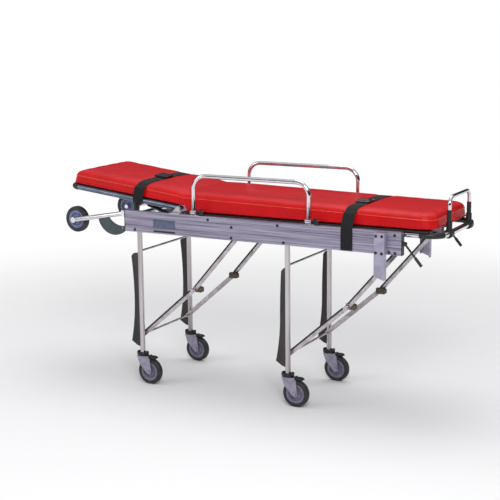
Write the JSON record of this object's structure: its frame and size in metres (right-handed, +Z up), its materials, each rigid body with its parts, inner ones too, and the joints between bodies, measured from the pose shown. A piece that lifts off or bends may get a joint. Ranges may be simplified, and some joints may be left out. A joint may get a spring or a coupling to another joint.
{
  "type": "wheeled ambulance stretcher",
  "caption": "Wheeled ambulance stretcher with folding leg frames, swivel casters, head-end loading wheels, tilting backrest, fold-down guard rails and a red strapped mattress.",
  "frame": {"origin": "centre of the stretcher's outline on the floor, under the casters", "axes": "+X towards the foot end, +Y towards the right side of a person lying on it, +Z up"},
  "size_m": [1.946, 0.584, 1.045],
  "materials": {
    "rail_aluminium": "brushed, clear anodised extrusion",
    "bright_tube": "polished tube",
    "leg_tube": "polished aluminium tube",
    "brace_steel": "zinc-plated bar",
    "bracket_steel": "lavender-grey powder coat",
    "zinc_fittings": "plated pressings",
    "dark_bolts": "blackened steel",
    "black_plastic": "moulded black plastic",
    "deck_board": "black board",
    "skid_plastic": "worn black plastic strip",
    "skid_dark_green": "dark grey-green enamel",
    "plate_blue": "blank enamelled plate",
    "red_vinyl": "glossy red vinyl",
    "strap_webbing": "black woven webbing",
    "buckle_metal": "plated buckle",
    "olive_rubber": "brown-olive rubber",
    "fork_steel": "silver-grey enamel",
    "wheel_grey": "grey nylon",
    "tyre_rubber": "dark rubber tread",
    "load_wheel_blue": "blue-grey nylon",
    "gas_black": "black gas-spring body",
    "gas_chrome": "ground rod"
  },
  "bodies": {
    "frame": {"left_side_rail": "rail_aluminium", "right_side_rail": "rail_aluminium", "rail_end_caps": "black_plastic", "cross_tubes": "bright_tube", "seat_deck": "deck_board", "foot_frame_tube": "bright_tube", "left_drop_bracket": "bracket_steel", "right_drop_bracket": "bracket_steel", "rail_bolts": "dark_bolts", "backrest_hinge_brackets": "zinc_fittings", "guard_rail_brackets": "zinc_fittings", "load_arms": "bright_tube", "loading_skids": "skid_dark_green", "id_plate": "plate_blue", "seat_pad": "red_vinyl", "leg_strap": "strap_webbing", "leg_strap_buckle": "buckle_metal"},
    "backrest": {"backrest_tube": "bright_tube", "backrest_deck": "deck_board", "back_pad": "red_vinyl", "chest_strap": "strap_webbing", "chest_strap_buckle": "black_plastic"},
    "gas_cylinder": {"gas_spring_cylinder": "gas_black"},
    "gas_rod": {"gas_spring_rod": "gas_chrome"},
    "front_legs": {"front_leg_frame": "leg_tube", "front_leg_skids": "skid_plastic"},
    "front_upper_links": {"front_upper_braces": "brace_steel", "front_brace_bumpers": "olive_rubber"},
    "front_lower_links": {"front_lower_braces": "brace_steel"},
    "front_left_caster": {"front_left_fork": "fork_steel"},
    "front_left_wheel": {"front_left_hub": "wheel_grey", "front_left_tyre": "tyre_rubber"},
    "front_left_brake": {"front_left_pedal": "black_plastic"},
    "front_right_caster": {"front_right_fork": "fork_steel"},
    "front_right_wheel": {"front_right_hub": "wheel_grey", "front_right_tyre": "tyre_rubber"},
    "front_right_brake": {"front_right_pedal": "black_plastic"},
    "rear_legs": {"rear_leg_frame": "leg_tube", "rear_leg_skids": "skid_plastic"},
    "rear_upper_links": {"rear_upper_braces": "brace_steel", "rear_brace_bumpers": "olive_rubber"},
    "rear_lower_links": {"rear_lower_braces": "brace_steel"},
    "rear_left_caster": {"rear_left_fork": "fork_steel"},
    "rear_left_wheel": {"rear_left_hub": "wheel_grey", "rear_left_tyre": "tyre_rubber"},
    "rear_left_brake": {"rear_left_pedal": "black_plastic"},
    "rear_right_caster": {"rear_right_fork": "fork_steel"},
    "rear_right_wheel": {"rear_right_hub": "wheel_grey", "rear_right_tyre": "tyre_rubber"},
    "rear_right_brake": {"rear_right_pedal": "black_plastic"},
    "left_load_wheel": {"left_load_hub": "load_wheel_blue", "left_load_tyre": "tyre_rubber"},
    "left_guard": {"left_guard_rail": "bright_tube"},
    "left_lever": {"left_release_lever": "black_plastic"},
    "right_load_wheel": {"right_load_hub": "load_wheel_blue", "right_load_tyre": "tyre_rubber"},
    "right_guard": {"right_guard_rail": "bright_tube"},
    "right_lever": {"right_release_lever": "black_plastic"},
    "handle": {"foot_handle": "bright_tube", "foot_handle_clamps": "black_plastic"}
  },
  "joints": [
    {"name": "backrest_tilt", "type": "hinge", "parent": "frame", "child": "backrest", "pos_m": [-0.317, 0, 0.872], "axis": [0, 1, 0], "range_deg": [-6.5, 68.5]},
    {"name": "gas_cylinder_swing", "type": "hinge", "parent": "frame", "child": "gas_cylinder", "pos_m": [-0.397, -0.156, 0.818], "axis": [0, 1, 0], "range_deg": [-7, 70]},
    {"name": "gas_rod_slide", "type": "slide", "parent": "gas_cylinder", "child": "gas_rod", "axis": [-0.9489, 0, 0.3155], "range_m": [-0.011, 0.11]},
    {"name": "front_leg_fold", "type": "hinge", "parent": "frame", "child": "front_legs", "pos_m": [-0.549, 0, 0.76], "axis": [0, -1, 0], "range_deg": [0, 77]},
    {"name": "front_upper_link_swing", "type": "hinge", "parent": "frame", "child": "front_upper_links", "pos_m": [-0.029, 0, 0.76], "axis": [0, -1, 0], "range_deg": [-47, 0]},
    {"name": "front_lower_link_swing", "type": "hinge", "parent": "front_legs", "child": "front_lower_links", "pos_m": [-0.549, 0, 0.24], "axis": [0, -1, 0], "range_deg": [0, 47]},
    {"name": "front_left_swivel", "type": "hinge", "parent": "front_legs", "child": "front_left_caster", "pos_m": [-0.549, -0.222, 0.1], "axis": [0, 0, 1], "continuous": true},
    {"name": "front_left_roll", "type": "hinge", "parent": "front_left_caster", "child": "front_left_wheel", "pos_m": [-0.507, -0.222, 0.0625], "axis": [0, 1, 0], "continuous": true},
    {"name": "front_left_brake_press", "type": "hinge", "parent": "front_left_caster", "child": "front_left_brake", "pos_m": [-0.513, -0.222, 0.132], "axis": [0, 1, 0], "range_deg": [0, 8]},
    {"name": "front_right_swivel", "type": "hinge", "parent": "front_legs", "child": "front_right_caster", "pos_m": [-0.549, 0.222, 0.1], "axis": [0, 0, 1], "continuous": true},
    {"name": "front_right_roll", "type": "hinge", "parent": "front_right_caster", "child": "front_right_wheel", "pos_m": [-0.507, 0.222, 0.0625], "axis": [0, 1, 0], "continuous": true},
    {"name": "front_right_brake_press", "type": "hinge", "parent": "front_right_caster", "child": "front_right_brake", "pos_m": [-0.513, 0.222, 0.132], "axis": [0, 1, 0], "range_deg": [0, 8]},
    {"name": "rear_leg_fold", "type": "hinge", "parent": "frame", "child": "rear_legs", "pos_m": [0.236, 0, 0.76], "axis": [0, -1, 0], "range_deg": [0, 77]},
    {"name": "rear_upper_link_swing", "type": "hinge", "parent": "frame", "child": "rear_upper_links", "pos_m": [0.756, 0, 0.76], "axis": [0, -1, 0], "range_deg": [-47, 0]},
    {"name": "rear_lower_link_swing", "type": "hinge", "parent": "rear_legs", "child": "rear_lower_links", "pos_m": [0.236, 0, 0.24], "axis": [0, -1, 0], "range_deg": [0, 47]},
    {"name": "rear_left_swivel", "type": "hinge", "parent": "rear_legs", "child": "rear_left_caster", "pos_m": [0.236, -0.222, 0.1], "axis": [0, 0, 1], "continuous": true},
    {"name": "rear_left_roll", "type": "hinge", "parent": "rear_left_caster", "child": "rear_left_wheel", "pos_m": [0.278, -0.222, 0.0625], "axis": [0, 1, 0], "continuous": true},
    {"name": "rear_left_brake_press", "type": "hinge", "parent": "rear_left_caster", "child": "rear_left_brake", "pos_m": [0.272, -0.222, 0.132], "axis": [0, 1, 0], "range_deg": [0, 8]},
    {"name": "rear_right_swivel", "type": "hinge", "parent": "rear_legs", "child": "rear_right_caster", "pos_m": [0.236, 0.222, 0.1], "axis": [0, 0, 1], "continuous": true},
    {"name": "rear_right_roll", "type": "hinge", "parent": "rear_right_caster", "child": "rear_right_wheel", "pos_m": [0.278, 0.222, 0.0625], "axis": [0, 1, 0], "continuous": true},
    {"name": "rear_right_brake_press", "type": "hinge", "parent": "rear_right_caster", "child": "rear_right_brake", "pos_m": [0.272, 0.222, 0.132], "axis": [0, 1, 0], "range_deg": [0, 8]},
    {"name": "left_load_wheel_roll", "type": "hinge", "parent": "frame", "child": "left_load_wheel", "pos_m": [-0.91, -0.2205, 0.779], "axis": [0, 1, 0], "continuous": true},
    {"name": "left_guard_fold", "type": "hinge", "parent": "frame", "child": "left_guard", "pos_m": [0.072, -0.272, 0.866], "axis": [1, 0, 0], "range_deg": [0, 175]},
    {"name": "left_lever_pull", "type": "hinge", "parent": "frame", "child": "left_lever", "pos_m": [0.804, -0.254, 0.8], "axis": [0, -1, 0], "range_deg": [0, 25], "stiffness_Nm_per_rad": 2, "springref_deg": -5.73},
    {"name": "right_load_wheel_roll", "type": "hinge", "parent": "frame", "child": "right_load_wheel", "pos_m": [-0.91, 0.2205, 0.779], "axis": [0, 1, 0], "continuous": true},
    {"name": "right_guard_fold", "type": "hinge", "parent": "frame", "child": "right_guard", "pos_m": [0.072, 0.272, 0.866], "axis": [-1, 0, 0], "range_deg": [0, 175]},
    {"name": "right_lever_pull", "type": "hinge", "parent": "frame", "child": "right_lever", "pos_m": [0.804, 0.254, 0.8], "axis": [0, -1, 0], "range_deg": [0, 25], "stiffness_Nm_per_rad": 2, "springref_deg": -5.73},
    {"name": "foot_handle_fold", "type": "hinge", "parent": "frame", "child": "handle", "pos_m": [0.953, 0, 0.836], "axis": [0, 1, 0], "range_deg": [0, 90]}
  ],
  "couplings": [
    {"joint": "gas_cylinder_swing", "follows": "backrest_tilt", "ratio": 1.0156},
    {"joint": "gas_rod_slide", "follows": "backrest_tilt", "m_per_rad": 0.09077},
    {"joint": "front_upper_link_swing", "follows": "front_leg_fold", "ratio": -0.602},
    {"joint": "front_lower_link_swing", "follows": "front_leg_fold", "ratio": 0.602},
    {"joint": "rear_upper_link_swing", "follows": "rear_leg_fold", "ratio": -0.602},
    {"joint": "rear_lower_link_swing", "follows": "rear_leg_fold", "ratio": 0.602}
  ]
}
